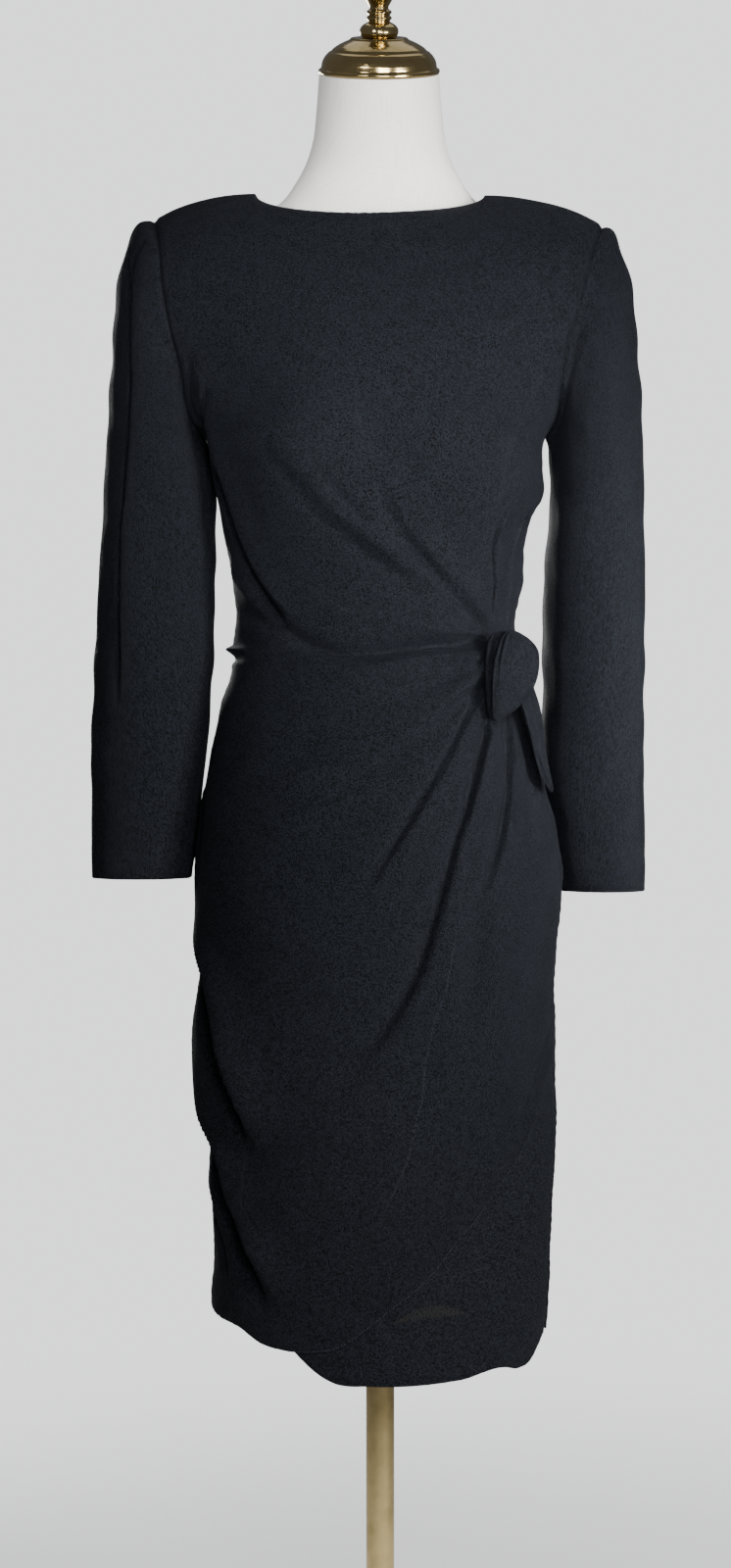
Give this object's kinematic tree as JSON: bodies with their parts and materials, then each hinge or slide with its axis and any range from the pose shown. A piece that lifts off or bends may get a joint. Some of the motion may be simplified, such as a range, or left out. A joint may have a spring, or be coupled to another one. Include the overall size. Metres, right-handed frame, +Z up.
{
  "type": "draped wrap dress on a limbless dress form",
  "caption": "Knee-length long-sleeved dress with a petal wrap front and a side tie, worn by a limbless dress form on a pole and round base.",
  "frame": {"origin": "middle of the round base's underside, on the pole's axis", "axes": "+Z up along the pole, -Y towards the dress's front, +X towards the wearer's left"},
  "size_m": [0.4941, 0.3, 1.5868],
  "materials": {
    "crepe": "matte black crepe with a fine grain",
    "linen": "off-white linen with fine slubs",
    "polished_brass": "polished brass colour"
  },
  "bodies": {
    "root": {"bodice_front": "crepe", "bodice_back_left": "crepe", "bodice_back_right": "crepe", "sleeve_left": "crepe", "sleeve_right": "crepe", "skirt_wrap": "crepe", "skirt_under": "crepe", "skirt_back_left": "crepe", "skirt_back_right": "crepe", "tie_knot": "crepe", "tie_leaf": "crepe", "tie_loop": "crepe", "tie_tail": "crepe", "form_torso": "linen", "form_neck_cap": "polished_brass", "form_finial": "polished_brass", "form_socket": "polished_brass", "form_pole": "polished_brass", "form_base": "polished_brass"}
  },
  "joints": []
}
